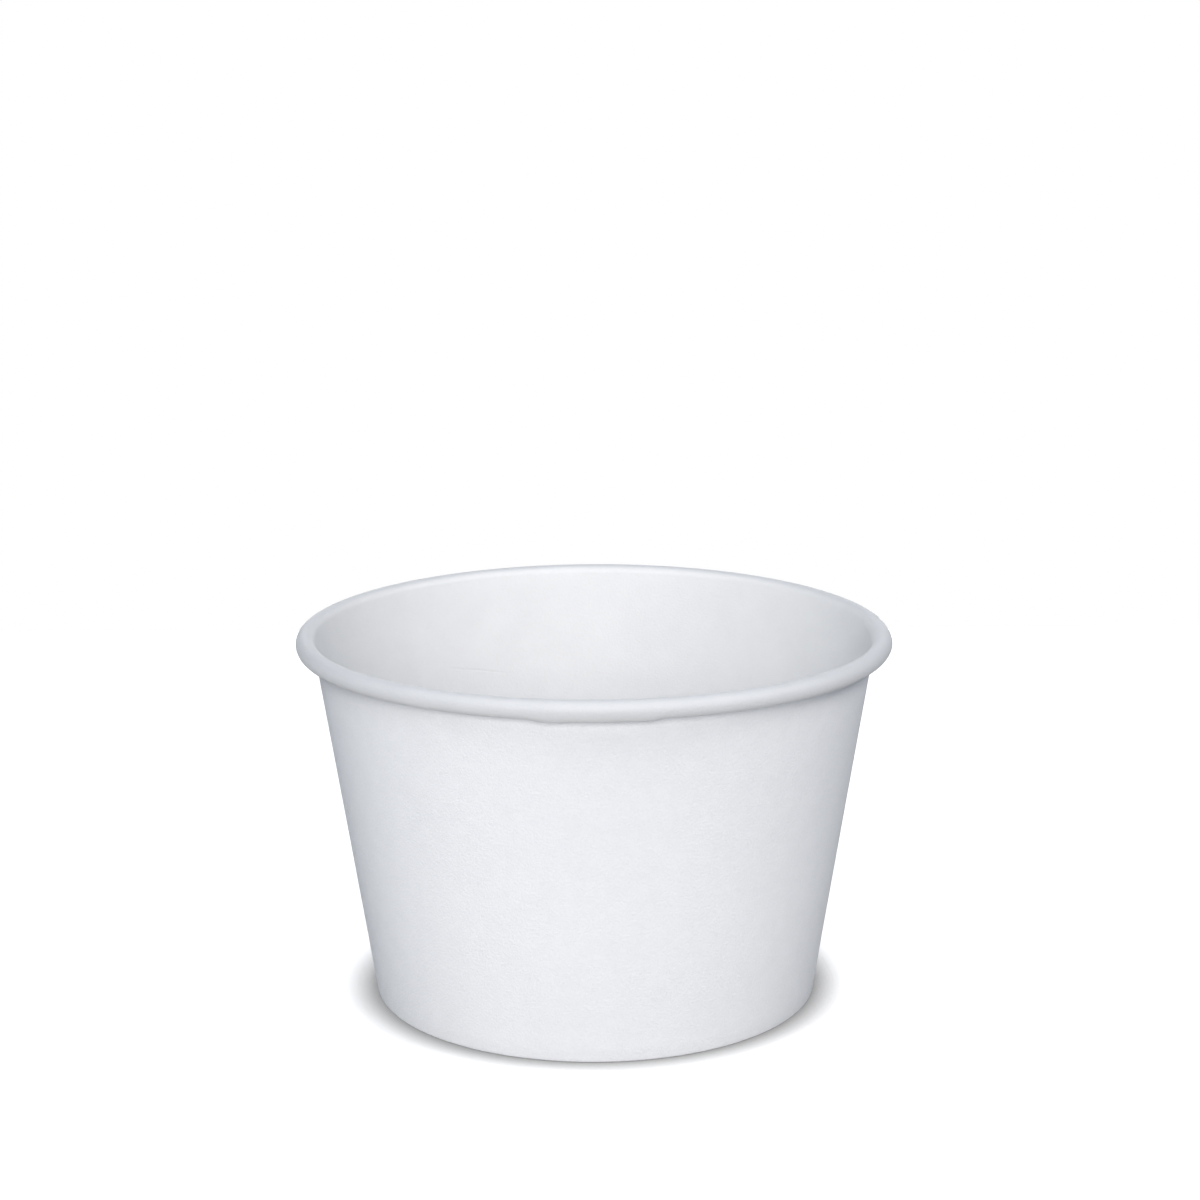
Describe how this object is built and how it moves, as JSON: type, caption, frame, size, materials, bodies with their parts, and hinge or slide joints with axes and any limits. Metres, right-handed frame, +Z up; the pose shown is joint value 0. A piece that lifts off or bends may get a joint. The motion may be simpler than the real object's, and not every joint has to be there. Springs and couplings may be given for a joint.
{
  "type": "paper sundae cup",
  "caption": "Open paper cup for ice cream or dessert: round tapering board wall with a rolled rim, lapped side seam and a recessed bottom disc held by a folded hem",
  "frame": {"origin": "Centre of the ring on which the cup stands, at floor level", "axes": "+Z up the cup's axis, -Y out of the front, +X to the right as seen from the front, with the side seam near +X"},
  "size_m": [0.096, 0.096, 0.061],
  "materials": {
    "wall_board": "uncoated matte board outside, thin satin coating inside",
    "disc_board": "coated board, satin above and matte below"
  },
  "bodies": {
    "root": {"side_wall": "wall_board", "bottom_disc": "disc_board"}
  },
  "joints": []
}
